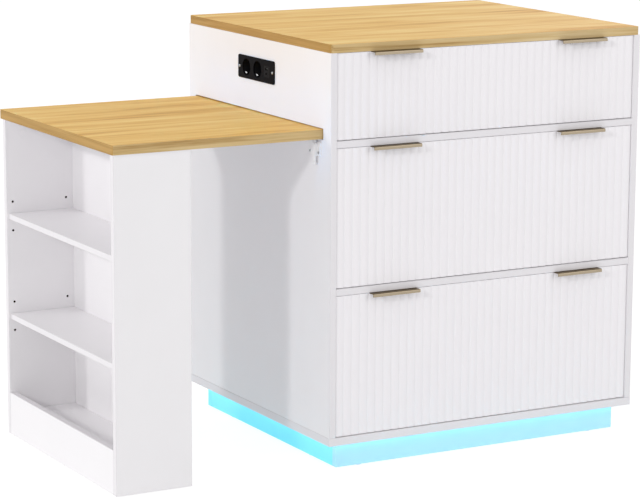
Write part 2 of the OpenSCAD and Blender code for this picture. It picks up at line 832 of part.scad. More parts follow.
// ---- castors
module castor_forks() {
  cheek = wheel_w / 2 + fork_gap;
  color(steel) place() for (y = castor_ys) {
    difference() {
      union() {
        translate([castor_x - castor_plate[0] / 2, y - castor_plate[1] / 2, castor_top - castor_plate[2]])
          cube(castor_plate);
        for (side = [-cheek - fork_t, cheek])
          translate([castor_x - fork_len / 2, y + side, wheel_r - fork_foot])
            cube([fork_len, fork_t, castor_top - wheel_r + fork_foot - castor_plate[2] + eps]);
      }
      rod_y([castor_x, y - cheek - fork_t - over, wheel_r], 2 * (cheek + fork_t + over), axle_r + eps);
    }
    rod_y([castor_x, y - cheek - fork_t, wheel_r], 2 * (cheek + fork_t), axle_r);
    for (end = [-cheek - fork_t - axle_head, cheek + fork_t])
      rod_y([castor_x, y + end, wheel_r], axle_head, axle_r + axle_head);
  }
}
module castor_wheel(y) {
  half = wheel_w / 2;
  bore = axle_r + axle_play;
  color(black) place() translate([castor_x, y, wheel_r]) rotate([90, 0, 0]) rotate_extrude()
    polygon([[bore, -half], [wheel_r - wheel_edge, -half], [wheel_r, wheel_edge - half],
             [wheel_r, half - wheel_edge], [wheel_r - wheel_edge, half], [bore, half]]);
}

worktop();
left_side_panel();
right_side_panel();
bottom_board();
back_panel();
divider(upper_divider_z);  // upper_divider
divider(lower_divider_z);  // lower_divider
wiring_duct_panel();
table_guides();
plinth_front();
plinth_back();
plinth_sides();
floor_glides();
light_tape();
light_driver();
socket_plate();
socket_inserts();
charging_module();
socket_back_box();
socket_cable();
cable_gland();
lock_housing();
small_screws();
cam_bolts();
cam_discs();
runners(0);  // upper_runners
runners(1);  // middle_runners
runners(2);  // lower_runners
drawer_front(0);  // upper_front
drawer_sides(0);  // upper_box_sides
drawer_back(0);  // upper_box_back
drawer_bottom(0);  // upper_box_bottom
slides(0);  // upper_slides
handles(0);  // upper_handles
drawer_front(1);  // middle_front
drawer_sides(1);  // middle_box_sides
drawer_back(1);  // middle_box_back
drawer_bottom(1);  // middle_box_bottom
slides(1);  // middle_slides
handles(1);  // middle_handles
drawer_front(2);  // lower_front
drawer_sides(2);  // lower_box_sides
drawer_back(2);  // lower_box_back
drawer_bottom(2);  // lower_box_bottom
slides(2);  // lower_slides
handles(2);  // lower_handles
table_board();
pillar_near_panel();
pillar_far_panel();
pillar_back_panel();
pillar_shelf(upper_pin_z);  // pillar_upper_shelf
pillar_shelf(lower_pin_z);  // pillar_lower_shelf
pillar_floor_board();
pillar_toe_board();
shelf_pins();
pillar_fittings();
castor_forks();
castor_wheel(castor_ys[0]);  // castor_wheel_near
castor_wheel(castor_ys[1]);  // castor_wheel_far
lock_bolt();
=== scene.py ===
# %% [markdown]
# # A kitchen island unit with a side table drawn out of it
#
# The imported model gives the unit's boards, runners, fittings and sizes, already in place.
# This file dresses it: it rounds the board edges, makes the reeded drawer fronts, the bent
# pulls, the sockets' inner parts and the castors, and gives every surface its material.
# It also sets up a camera, a floor and soft studio light.
#
# The model comes in first.

# %% Load the model
import json
from math import asin, degrees, radians

import bmesh
import bpy
from mathutils import Matrix, Vector

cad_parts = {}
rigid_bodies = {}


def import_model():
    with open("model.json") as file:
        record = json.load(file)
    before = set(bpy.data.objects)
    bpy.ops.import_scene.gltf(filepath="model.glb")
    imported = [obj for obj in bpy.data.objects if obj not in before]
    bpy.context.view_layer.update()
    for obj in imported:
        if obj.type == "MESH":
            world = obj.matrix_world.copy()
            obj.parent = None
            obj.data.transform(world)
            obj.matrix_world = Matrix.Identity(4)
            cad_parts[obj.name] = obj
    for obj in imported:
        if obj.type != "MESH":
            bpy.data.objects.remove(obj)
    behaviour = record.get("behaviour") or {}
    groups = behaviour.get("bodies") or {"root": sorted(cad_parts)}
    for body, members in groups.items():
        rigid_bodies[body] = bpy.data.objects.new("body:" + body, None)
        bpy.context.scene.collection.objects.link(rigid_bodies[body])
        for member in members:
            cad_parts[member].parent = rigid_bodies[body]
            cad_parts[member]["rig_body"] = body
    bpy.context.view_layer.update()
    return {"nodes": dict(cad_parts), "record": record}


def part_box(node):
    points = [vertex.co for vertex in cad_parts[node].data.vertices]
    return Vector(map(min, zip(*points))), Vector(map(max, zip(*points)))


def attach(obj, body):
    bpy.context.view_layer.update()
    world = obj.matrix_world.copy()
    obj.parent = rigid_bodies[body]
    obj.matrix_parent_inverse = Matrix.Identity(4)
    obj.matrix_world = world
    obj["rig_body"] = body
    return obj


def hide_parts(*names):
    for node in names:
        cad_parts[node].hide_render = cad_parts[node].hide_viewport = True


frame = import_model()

MM = 0.001

# %% [markdown]
# ## Camera
#
# The unit is seen from its front left corner, a little from above, through a long lens, so
# that its upright edges stay nearly parallel. A camera could be aimed at a target, but one
# that is to repeat a picture is better placed by numbers. Its place, its three turns and
# its lens were worked out from the lines of the boards in a picture of 640 by 504 pixels.

# %% Camera
CAMERA_PLACE = (-2.7695, -5.0071, 1.5281)
CAMERA_TURN, CAMERA_DIP, CAMERA_ROLL = -29.01, 11.08, 0.25
FOCAL_LENGTH, SENSOR_WIDTH = 147.8, 36

camera = bpy.data.objects.new("product_camera", bpy.data.cameras.new("product_camera"))
camera.data.lens = FOCAL_LENGTH
camera.data.sensor_width = SENSOR_WIDTH
camera.data.clip_end = 100
camera.matrix_world = (Matrix.Translation(CAMERA_PLACE)
                       @ Matrix.Rotation(radians(CAMERA_TURN), 4, "Z")
                       @ Matrix.Rotation(radians(90 - CAMERA_DIP), 4, "X")
                       @ Matrix.Rotation(radians(CAMERA_ROLL), 4, "Z"))
bpy.context.scene.collection.objects.link(camera)
bpy.context.scene.camera = camera
print("camera", CAMERA_PLACE, "lens", FOCAL_LENGTH, "mm")

# %% [markdown]
# ## Colours and nodes
#
# A colour is written as an sRGB hex value, as a picture shows it, but the shaders count in
# linear light, so one function turns one into the other. A second one adds any node, with
# its settings and its links, and a third starts a material and hands back the object
# coordinates, in metres, that all the patterns here are drawn in.
#
# A Mix node numbers its sockets: plain values go into 2 and 3 and leave by 0, and colours
# go into 6 and 7 and leave by 2.

# %% Helpers for materials
def rgb(code):
    """Turn an sRGB hex colour into linear red, green, blue and alpha."""
    parts = [int(code[i:i + 2], 16) / 255 for i in (0, 2, 4)]
    return [p / 12.92 if p <= 0.04045 else ((p + 0.055) / 1.055) ** 2.4 for p in parts] + [1.0]


def add(tree, kind, inputs=None, **settings):
    """Add a node with its settings. An input is a value, or a socket to link."""
    made = tree.nodes.new("ShaderNode" + kind)
    for name, value in settings.items():
        setattr(made, name, value)
    for key, value in (inputs or {}).items():
        if isinstance(value, bpy.types.NodeSocket):
            tree.links.new(value, made.inputs[key])
        else:
            made.inputs[key].default_value = value
    return made


def material(name):
    """Start a material, and hand back it, its node tree and its object coordinates."""
    made = bpy.data.materials.new(name)
    made.use_nodes = True
    made.node_tree.nodes.clear()
    return made, made.node_tree, add(made.node_tree, "TexCoord").outputs["Object"]


def per(size):
    """The scale at which a texture's features are about this many millimetres wide."""
    return 1 / (size * MM)


print("white as written", [round(v, 3) for v in rgb("F1EFF1")])

# %% [markdown]
# ## White melamine board
#
# The carcass, the drawer boxes and the pillar are particle board faced with melamine paper
# that was pressed against a finely dimpled steel plate. That gives the eye an even, cool
# white with a satin sheen, broken up a little. One flat colour would look like plastic
# film, so two soft noises do it: a wide one, 90 mm, for the faint unevenness of the paper,
# and a fine one for the dimples. Real dimples are 0.3 mm wide, too fine to show, so they
# are drawn 1.4 mm wide or more. The melamine resin's IOR is 1.52.

# %% White melamine, edge band and foil
RESIN_IOR = 1.52


def white_board(name, light, dark, rough, dimple):
    """A white board face. Dimple is the width of its fine relief in millimetres."""
    made, tree, place = material(name)
    paper = add(tree, "TexNoise", {"Vector": place, "Scale": per(90), "Detail": 3.0})
    dimples = add(tree, "TexNoise", {"Vector": place, "Scale": per(dimple), "Detail": 2.0})
    tone = add(tree, "Mix", {"Factor": paper.outputs[0], 6: rgb(dark), 7: rgb(light)},
               data_type="RGBA")
    gloss = add(tree, "MapRange", {"Value": dimples.outputs[0], "From Min": 0.3, "From Max": 0.7,
                                   "To Min": rough - 0.05, "To Max": rough + 0.05})
    bump = add(tree, "Bump", {"Height": dimples.outputs[0], "Strength": 0.12,
                              "Distance": 0.05 * MM})
    shader = add(tree, "BsdfPrincipled", {"Base Color": tone.outputs[2],
                                          "Normal": bump.outputs[0],
                                          "Roughness": gloss.outputs[0], "IOR": RESIN_IOR})
    add(tree, "OutputMaterial", {"Surface": shader.outputs[0]})
    return made


# The broad faces: a cool white with a satin sheen
melamine = white_board("melamine_faced_board", "F4F2F4", "F1EFF1", 0.42, 1.4)
# The band is ABS strip, glued on hot: smoother than the faces, and greyer as painted shade
edge_band_painted_shade = white_board("abs_edge_band_painted_shade", "EAE7EA", "E7E4E7", 0.36, 3.0)
# The fronts are milled fibreboard under a foil drawn down by vacuum, softer in sheen
foil = white_board("foil_wrapped_fibreboard", "F5F2F5", "F2EFF2", 0.45, 2.0)
print("white boards", melamine.name, edge_band_painted_shade.name, foil.name)

# %% [markdown]
# ## Oak-look laminate
#
# The tops are particle board under a printed oak laminate, with its grain along X. Oak
# planks show three sizes of mark: figure, in long bands a few centimetres wide, streaks
# inside it, and fine fibre lines. Each is a noise that is stretched along the grain, and
# the two wide ones also bend the lines a little, which makes the flames of a sawn plank.
# Their sum picks a colour from a ramp. A printed image would look sharper, but a pattern
# made from noises has no seam and needs no picture. The fibre lines are 0.4 mm on the real
# board and 1.5 mm here, so that they show. Laminate is duller than bare resin, so the
# shader's specular level is low.

# %% Oak laminate
def oak(name, along, dark, middle, light, rough, close=1.0):
    """Oak with its grain along an axis. Close makes the marks narrower than on the top."""
    made, tree, place = material(name)

    def streaks(length, width, detail, twist):
        """Marks of a length and width in millimetres, drawn out along the grain."""
        sizes = [per(width * close)] * 3
        sizes["XYZ".index(along)] = per(length)
        stretched = add(tree, "Mapping", {"Vector": place, "Scale": sizes})
        return add(tree, "TexNoise", {"Vector": stretched.outputs[0], "Scale": 1.0,
                                      "Detail": detail, "Roughness": 0.55,
                                      "Distortion": twist}).outputs[0]

    figure = streaks(620, 52, 2.0, 0.9)
    streak = streaks(260, 15, 3.0, 0.5)
    fibre = streaks(70, 1.5 / close, 2.0, 0.0)
    wide = add(tree, "Mix", {"Factor": 0.42, 2: figure, 3: streak})
    grain = add(tree, "Mix", {"Factor": 0.16, 2: wide.outputs[0], 3: fibre})
    ramp = add(tree, "ValToRGB", {"Fac": grain.outputs[0]})
    first, last = ramp.color_ramp.elements
    first.position, first.color = 0.34, rgb(dark)
    last.position, last.color = 0.64, rgb(light)
    ramp.color_ramp.elements.new(0.47).color = rgb(middle)
    gloss = add(tree, "MapRange", {"Value": grain.outputs[0], "From Min": 0.35, "From Max": 0.65,
                                   "To Min": rough + 0.06, "To Max": rough - 0.04})
    bump = add(tree, "Bump", {"Height": fibre, "Strength": 0.15, "Distance": 0.05 * MM})
    shader = add(tree, "BsdfPrincipled", {"Base Color": ramp.outputs[0],
                                          "Normal": bump.outputs[0],
                                          "Roughness": gloss.outputs[0], "IOR": RESIN_IOR,
                                          "Specular IOR Level": 0.12})
    add(tree, "OutputMaterial", {"Surface": shader.outputs[0]})
    return made


# The faces: warm honey with darker flames, nearly matt
oak_top = oak("oak_laminate_top", "X", "CB903F", "EABA63", "F7D483", 0.50)
# The bands are the same print, painted duller and browner, the ends darkest: painted shade
oak_long_band_painted_shade = oak("oak_edge_band_long_painted_shade", "X", "A8844E", "CDB07C", "DEC698", 0.50, 0.35)
oak_end_band_painted_shade = oak("oak_edge_band_end_painted_shade", "Y", "86622F", "AC864A", "C29B5C", 0.50, 0.35)
# Underneath, a white sheet keeps the board from bending, as bare laminate on one side would
backing = white_board("white_backing_sheet", "EFECEF", "EBE8EB", 0.50, 2.0)
print("oak", oak_top.name, oak_long_band_painted_shade.name, oak_end_band_painted_shade.name, backing.name)

# %% [markdown]
# ## Metals
#
# The pulls are bent from steel sheet, brushed along their length and coloured bronze. The
# runners and fittings are zinc-plated steel, and the earth clips are chromed. A metal
# takes its colour from its reflection, so metallic is 1 and the base colour is the tint.
# Brushing could be cut as real grooves, but a noise stretched along X that changes the
# roughness and tilts the surface gives the same streaks with no more faces. The real
# lines are 0.05 mm apart and are drawn 0.6 mm apart, so that they show.

# %% Bronze, zinc and chrome
def metal(name, light, dark, rough, spread, length, width, tilt):
    """A metal whose marks have a length along X and a width, both in millimetres."""
    made, tree, place = material(name)
    scale = (per(length), per(width), per(width))
    stretched = add(tree, "Mapping", {"Vector": place, "Scale": scale})
    lines = add(tree, "TexNoise", {"Vector": stretched.outputs[0], "Scale": 1.0, "Detail": 3.0})
    tone = add(tree, "Mix", {"Factor": lines.outputs[0], 6: rgb(dark), 7: rgb(light)},
               data_type="RGBA")
    gloss = add(tree, "MapRange", {"Value": lines.outputs[0], "From Min": 0.3, "From Max": 0.7,
                                   "To Min": rough - spread, "To Max": rough + spread})
    bump = add(tree, "Bump", {"Height": lines.outputs[0], "Strength": tilt,
                              "Distance": 0.02 * MM})
    shader = add(tree, "BsdfPrincipled", {"Base Color": tone.outputs[2],
                                          "Normal": bump.outputs[0],
                                          "Roughness": gloss.outputs[0], "Metallic": 1.0})
    add(tree, "OutputMaterial", {"Surface": shader.outputs[0]})
    return made


# The brushed lip: pale bronze with a soft streak of light along it
bronze = metal("brushed_bronze_steel", "B2A48E", "9B8D77", 0.34, 0.06, 40, 0.6, 0.3)
# The flange, the ends and the cut edges are painted duller and browner, as painted shade
bronze_painted_shade = metal("bronze_steel_painted_shade", "7A6A50", "5F503A", 0.50, 0.06, 40, 0.6, 0.3)
# Zinc plating is a cool grey, clouded in patches of some millimetres
zinc = metal("zinc_plated_steel", "D0D2D4", "B8BBBE", 0.30, 0.07, 9, 6, 0.15)
# Chrome on the clips is bright and nearly smooth
chrome = metal("chromed_steel", "E4E4E6", "D8D8DA", 0.12, 0.03, 5, 5, 0.05)
print("metals", bronze.name, bronze_painted_shade.name, zinc.name, chrome.name)

# %% [markdown]
# ## Plastics, rubber and felt
#
# The socket plate is ABS from a finely sparked mould: nearly black, with a low sheen. The
# inserts and the gland are coarser polyamide, the lock and the driver are white ABS, the
# castor treads are grey rubber, and the table slides on wool felt. They differ in colour,
# in roughness and in the size of their grain, so one function makes them all. ABS and
# rubber have an IOR near 1.53. Spark grain is 0.1 mm, too fine to show, and is drawn 0.8 mm
# wide or more.

# %% Moulded and soft materials
def moulded(name, light, dark, rough, grain, tilt, ior=1.53, sheen=0.0, level=0.5):
    """A moulded or felted surface, with a grain of some millimetres that tilts the light."""
    made, tree, place = material(name)
    spark = add(tree, "TexNoise", {"Vector": place, "Scale": per(grain), "Detail": 3.0})
    tone = add(tree, "Mix", {"Factor": spark.outputs[0], 6: rgb(dark), 7: rgb(light)},
               data_type="RGBA")
    gloss = add(tree, "MapRange", {"Value": spark.outputs[0], "From Min": 0.3, "From Max": 0.7,
                                   "To Min": rough - 0.05, "To Max": rough + 0.05})
    bump = add(tree, "Bump", {"Height": spark.outputs[0], "Strength": tilt,
                              "Distance": 0.05 * MM})
    shader = add(tree, "BsdfPrincipled", {"Base Color": tone.outputs[2],
                                          "Normal": bump.outputs[0],
                                          "Roughness": gloss.outputs[0], "IOR": ior,
                                          "Specular IOR Level": level, "Sheen Weight": sheen})
    add(tree, "OutputMaterial", {"Surface": shader.outputs[0]})
    return made


# The plate is nearly black and hardly shines
black_abs = moulded("black_abs_plate", "0F0C10", "09080B", 0.55, 0.8, 0.2, level=0.04)
# The inserts and the gland are as dark, but more matt and coarser
black_nylon = moulded("black_polyamide", "121114", "0C0B0D", 0.60, 1.2, 0.3, level=0.1)
# The lock is as white as the boards and a little glossier
white_abs = moulded("white_abs", "F2F1F2", "ECEBEC", 0.34, 1.0, 0.1)
# Soft PVC round the cable is dark grey with a dull gleam
sheath = moulded("pvc_cable_sheath", "242425", "1B1B1C", 0.50, 1.5, 0.2)
# Tread rubber is matt and slightly rough
tread = moulded("grey_rubber_tread", "3A3A3C", "2D2D2F", 0.70, 1.0, 0.5, 1.52)
# The wheel's hub is smoother and lighter than its tread
hub = moulded("grey_polypropylene_hub", "8E8F92", "828386", 0.45, 1.2, 0.2, 1.49)
# Felt scatters light from its fibre ends, which sheen gives
felt = moulded("wool_felt", "8D8B88", "6F6D6A", 0.95, 1.6, 1.0, 1.50, 0.4)
# Bare, dull particle board inside a drilled hole, its brown painted nearly black as painted shade
bare_board_painted_shade = moulded("drilled_particle_board_painted_shade", "4A3828", "201812", 0.90, 2.0, 0.8, level=0.1)
print("moulded", black_abs.name, black_nylon.name, white_abs.name, sheath.name)
print("soft and bare", tread.name, hub.name, felt.name, bare_board_painted_shade.name)

# %% [markdown]
# ## The lit plinth's painted glow
#
# Under the cabinet a white plinth is set back, and a cyan light tape behind the overhang
# shines down on it. The glow could be left to the diodes, but hundreds of tiny lamps make
# a noisy picture. So a plinth board keeps its white satin surface and gives off, as a
# painted glow, the cyan light that it would throw back. A little more of it low down makes
# up for the real light that the glowing tape adds at the top. Room light washes the colour
# out, most of all on the front, and that is painted as well: the front board gets the paler
# of two painted tints and the others the deeper.

# %% Lit plinth
plinth_low, plinth_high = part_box("plinth_front")
# The painted glow's strength at the bottom and at the top of the plinth
GLOW_LOW_DOWN, GLOW_HIGH_UP = 0.54, 0.44


def height_between(tree, place, low, high, at_low, at_high):
    """A value that goes from one number at a height to another at a second height."""
    parts = add(tree, "SeparateXYZ", {0: place})
    return add(tree, "MapRange", {"Value": parts.outputs["Z"], "From Min": low, "From Max": high,
                                  "To Min": at_low, "To Max": at_high}).outputs[0]


def painted_glow(name, light, dark):
    """White board with the tape's cyan light painted on as a glow, and the room's as a painted
    tint.
    """
    made, tree, place = material(name)
    fleck = add(tree, "TexNoise", {"Vector": place, "Scale": per(60), "Detail": 2.0})
    # The two tints passed in are painted room light, paler on the front board
    tint = add(tree, "Mix", {"Factor": fleck.outputs[0], 6: rgb(dark), 7: rgb(light)},
               data_type="RGBA")
    glow = height_between(tree, place, plinth_low.z, plinth_high.z, GLOW_LOW_DOWN, GLOW_HIGH_UP)
    dimple = add(tree, "TexNoise", {"Vector": place, "Scale": per(1.4)})
    rough = add(tree, "MapRange", {"Value": dimple.outputs[0], "To Min": 0.35, "To Max": 0.50})
    shader = add(tree, "BsdfPrincipled", {"Base Color": tint.outputs[2],
                                          "Roughness": rough.outputs[0], "IOR": RESIN_IOR,
                                          "Emission Color": rgb("00C8F1"),
                                          "Emission Strength": glow})
    add(tree, "OutputMaterial", {"Surface": shader.outputs[0]})
    return made


front_painted_glow = painted_glow("white_board_painted_cyan_glow", "C0BED6", "B6B4D0")
side_painted_glow = painted_glow("white_board_painted_deeper_cyan_glow", "98C8CE", "8EBEC6")
print("plinth from", round(plinth_low.z / MM, 1), "to", round(plinth_high.z / MM, 1), "mm")

# %% [markdown]
# ## The finish of the light tape
#
# The tape is a pale, coated strip, and its diodes are small blocks that hang 1.4 mm below
# it. Two materials could part them, but strip and diodes share one node, which keeps its
# own mesh. So one material tells them apart by height, and the diodes glow brighter.

# %% Light tape
tape_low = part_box("light_tape")[0]
DIODE_LEVEL, STRIP_LEVEL = 1.35 * MM, 1.45 * MM
DIODE_GLOW, STRIP_GLOW = 6.0, 1.2

tape_light, tree, place = material("light_tape_with_diodes")
diode = height_between(tree, place, tape_low.z + DIODE_LEVEL, tape_low.z + STRIP_LEVEL,
                       DIODE_GLOW, STRIP_GLOW)
strip = add(tree, "TexNoise", {"Vector": place, "Scale": per(4)})
paint = add(tree, "Mix", {"Factor": strip.outputs[0], 6: rgb("C4EEF2"), 7: rgb("D8F6F8")},
            data_type="RGBA")
shader = add(tree, "BsdfPrincipled", {"Base Color": paint.outputs[2], "Roughness": 0.4, "IOR": 1.5,
                                      "Emission Color": rgb("6CF0FF"), "Emission Strength": diode})
add(tree, "OutputMaterial", {"Surface": shader.outputs[0]})
print("light tape from", round(tape_low.z / MM, 1), "mm up")

# %% [markdown]
# ## From a solid to a finished piece
#
# A real board never has a knife-sharp edge, and the light that its rounded edge catches is
# what makes it look made. A board could be drawn anew as a box, but its solid already has
# every hole and pocket. So the solid is copied, its loose triangles are joined and its flat
# faces cleared of inner lines, and then its long edges are bevelled. Only the roundings are
# shaded smooth, so that the flats stay flat.

# %% Copy and soften
ROUND_FACE = 400 * MM ** 2


def solid_of(node):
    """Copy a node's mesh, joined up, with the lines inside its flat faces dissolved."""
    bm = bmesh.new()
    bm.from_mesh(frame["nodes"][node].data)
    bmesh.ops.remove_doubles(bm, verts=bm.verts, dist=0.005 * MM)
    bmesh.ops.dissolve_limit(bm, angle_limit=radians(1), verts=bm.verts, edges=bm.edges)
    return bm


def verts_of(geometry):
    """The vertices among what an operator hands back."""
    return [part for part in geometry if isinstance(part, bmesh.types.BMVert)]


def soften(bm, width, longer=0.0, segments=2, edges=None):
    """Round the sharp edges that are longer than a length, in millimetres."""
    for face in bm.faces:
        face.smooth = face.calc_area() < ROUND_FACE and any(
            1 < degrees(edge.calc_face_angle(0)) < 35 for edge in face.edges)
    if edges is None:
        edges = [edge for edge in bm.edges if degrees(edge.calc_face_angle(0)) > 40
                 and edge.calc_length() > longer * MM]
    made = bmesh.ops.bevel(bm, geom=edges, affect="EDGES", offset=width * MM,
                           offset_type="OFFSET", segments=segments, profile=0.5, material=-1,
                           clamp_overlap=True)
    for face in made["faces"]:
        face.smooth = True


print("a face under", round(ROUND_FACE / MM ** 2), "square mm may be part of a rounding")

# %% [markdown]
# ## Pieces
#
# A bmesh is only a workbench. When a shape is done, it goes into an object of its own, with
# its place in its mesh and the object at the origin, so that patterns and poses fit it. The
# object could be parented to something, but here it rides on the body that its CAD node
# belongs to and stands for it.

# %% Make a piece
def into_piece(bm, name, materials, slot, like, *replaced):
    """Make a bmesh an object that rides on a node's body and stands for the replaced nodes."""
    mesh = bpy.data.meshes.new(name)
    bm.to_mesh(mesh)
    bm.free()
    for each in materials:
        mesh.materials.append(each)
    piece = bpy.data.objects.new(name, mesh)
    bpy.context.scene.collection.objects.link(piece)
    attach(piece, frame["nodes"][like]["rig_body"])
    if replaced:
        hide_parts(*replaced)
    return piece


def span(piece):
    """A piece's lowest and highest corners in millimetres, to print."""
    return [[round(pick(vert.co[i] for vert in piece.data.vertices) / MM, 1) for i in range(3)]
            for pick in (min, max)]


# %% [markdown]
# ## The white boards
#
# Each board has broad melamine faces and, on its cut edges, a band of another material,
# drawn a little greyer as painted shade. The thin direction of the board tells the two
# apart: a face that looks along it is melamine, and every other face is band. Cam pockets,
# pin holes and cut-outs come with the solid. Small faces sunk into a board get bare particle
# board, painted far darker than its brown chips as painted shade, which is why a pin hole
# looks black. The faces could be picked by hand, but these two rules serve all the boards.
# The long edges get a 0.8 mm rounding, as an edge trimmer leaves.

# %% Boards of the carcass, the drawers and the pillar
HOLE_FACE = 100 * MM ** 2
SKIN = 0.1 * MM


def board(node, across, width=0.8, longer=25):
    """Dress a board that is thin along an axis. Width is its edges' rounding."""
    bm = solid_of(node)
    low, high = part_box(node)
    for face in bm.faces:
        middle = face.calc_center_median()
        sunk = all(a + SKIN < b < c - SKIN for a, b, c in zip(low, middle, high))
        # Small sunk faces take the bare board, painted dark as painted shade
        face.material_index = 2 if sunk and face.calc_area() < HOLE_FACE else 0
    soften(bm, width, longer)
    # Every face that doesn't look along the thin axis takes the band and its painted shade
    for face in bm.faces:
        if face.material_index == 0 and abs(face.normal["XYZ".index(across)]) < 0.9:
            face.material_index = 1
    into_piece(bm, node + "_board", [melamine, edge_band_painted_shade, bare_board_painted_shade], "white_melamine",
               node, node)


for node in ("left_side_panel", "right_side_panel", "wiring_duct_panel", "pillar_back_panel",
             "pillar_toe_board"):
    board(node, "X")
for node in ("back_panel", "pillar_near_panel", "pillar_far_panel"):
    board(node, "Y")
for node in ("bottom_board", "upper_divider", "lower_divider", "pillar_upper_shelf",
             "pillar_lower_shelf", "pillar_floor_board"):
    board(node, "Z")
for drawer in ("upper", "middle", "lower"):
    board(drawer + "_box_sides", "X", 0.6)
    board(drawer + "_box_back", "Y", 0.6)
    board(drawer + "_box_bottom", "Z", 0.4)

# %% [markdown]
# ## The oak tops
#
# The worktop and the side table are made the same way, with a rounder edge of 1.2 mm.
# Their bands run round the board, so on the long sides the grain goes along X and on the
# ends along Y. A band could be a strip of its own, but it lies flush, so the way that a
# face looks is enough to pick its material.

# %% Worktop and side table
def oak_board(node):
    """Dress a top: laminate above, bands round it and a white sheet below."""
    bm = solid_of(node)
    soften(bm, 1.2, 12, 3)
    for face in bm.faces:
        # Each facing takes its own tone of the print, and the upright bands carry painted shade
        x, y, z = face.normal
        side = 1 if abs(y) > abs(x) else 2
        face.material_index = 0 if z > 0.75 else 3 if z < -0.95 else side
    into_piece(bm, node + "_oak", [oak_top, oak_long_band_painted_shade, oak_end_band_painted_shade, backing],
               "oak_laminate", node, node)


for node in ("worktop", "table_board"):
    oak_board(node)

# %% [markdown]
# ## The plinth boards
#
# The plinth is four boards in a ring. Their solids already have the right shape, so they
# are copied and bevelled, and get the painted cyan glow, paler on the front.

# %% Plinth boards
for node in ("plinth_front", "plinth_back", "plinth_sides"):
    bm = solid_of(node)
    soften(bm, 0.8, 10)
    finish = front_painted_glow if node == "plinth_front" else side_painted_glow
    into_piece(bm, node + "_board", [finish], "lit_plinth", node, node)

# %% [markdown]
# ## The outline of a reeded front
#
# The fronts are boards milled into a row of 38 upright rounded ribs that meet in sharp
# valleys. An array of half-round bars would leave seams, so the front is drawn once, seen
# from above, and pulled up later. One vertex at a valley is spun about the centre of the
# rib's arc, the arc is repeated side by side, and two more vertices close the back. The
# arc's radius follows from the rib's width w and its depth s: (w² / 4 + s²) / 2s.

# %% Outline of ribs
RIBS = 38
RIB_DEPTH = 2.2 * MM
RIB_STEPS = 8


def ribbed_outline(low, high):
    """Draw the front as one face, seen from above: ribs in front, a straight line behind."""
    pitch = (high.x - low.x) / RIBS
    radius = (pitch ** 2 / 4 + RIB_DEPTH ** 2) / (2 * RIB_DEPTH)
    bm = bmesh.new()
    valley = bm.verts.new((low.x, low.y + RIB_DEPTH, low.z))
    bmesh.ops.spin(bm, geom=[valley], cent=(low.x + pitch / 2, low.y + radius, low.z),
                   axis=(0, 0, 1), angle=2 * asin(pitch / 2 / radius), steps=RIB_STEPS)
    rib = bm.verts[:] + bm.edges[:]
    for i in range(1, RIBS):
        made = bmesh.ops.duplicate(bm, geom=rib)["geom"]
        bmesh.ops.translate(bm, vec=(i * pitch, 0, 0), verts=verts_of(made))
    bmesh.ops.remove_doubles(bm, verts=bm.verts, dist=0.02 * MM)
    ends = [vert for vert in bm.verts if len(vert.link_edges) == 1]
    back = bmesh.ops.extrude_vert_indiv(bm, verts=ends)["verts"]
    for vert in back:
        vert.co.y = high.y
    bmesh.ops.contextual_create(bm, geom=back)
    return bm, bmesh.ops.edgeloop_fill(bm, edges=bm.edges)["faces"]


print(RIBS, "ribs,", round(RIB_DEPTH / MM, 1), "mm deep")

# %% [markdown]
# ## Reeded drawer fronts
#
# The outline is pulled up into a board. A cutter leaves crisp ribs, but the foil that is
# drawn over them can't follow a sharp edge, so the valleys and the rim of the outline are
# bevelled by 0.5 mm. The foil is wrapped round the top and the ends, where it adds 0.6 mm
# and narrows the gaps a little.

# %% Reeded fronts
FOIL = 0.6 * MM
RIB_FACE = 600 * MM ** 2
UPRIGHT = 0.01


def reeded_front(node):
    """Pull the ribbed outline up to a board and round it as foil does."""
    low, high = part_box(node)
    low, high = low - Vector((FOIL, 0, 0)), high + Vector((FOIL, 0, FOIL))
    bm, outline = ribbed_outline(low, high)
    lifted = bmesh.ops.extrude_face_region(bm, geom=outline)["geom"]
    bmesh.ops.translate(bm, vec=(0, 0, high.z - low.z), verts=verts_of(lifted))
    bmesh.ops.recalc_face_normals(bm, faces=bm.faces)
    for face in bm.faces:
        face.smooth = face.calc_area() < RIB_FACE
    valleys = [edge for edge in bm.edges if degrees(edge.calc_face_angle(0)) > 40
               and abs(edge.verts[0].co.z - edge.verts[1].co.z) > UPRIGHT]
    rim = [edge for edge in bm.edges if any(len(face.verts) > 8 for face in edge.link_faces)]
    made = bmesh.ops.bevel(bm, geom=valleys + rim, affect="EDGES", offset=0.5 * MM,
                           offset_type="OFFSET", segments=2, profile=0.5, material=-1,
                           clamp_overlap=True)
    for face in made["faces"]:
        face.smooth = True
    into_piece(bm, node + "_reeded", [foil], "white_melamine", node, node)


for drawer in ("upper", "middle", "lower"):
    reeded_front(drawer + "_front")

# %% [markdown]
# ## Screw heads
#
# Small cross-slot screws hold the pulls, the socket plate and the lock. The slot could be
# cut in, but at this size it is only a dark cross to the eye. So a head is a short cone
# with two thin dark bars let into its top, which are painted shade for the slot. It is
# drawn facing up and turned into place.

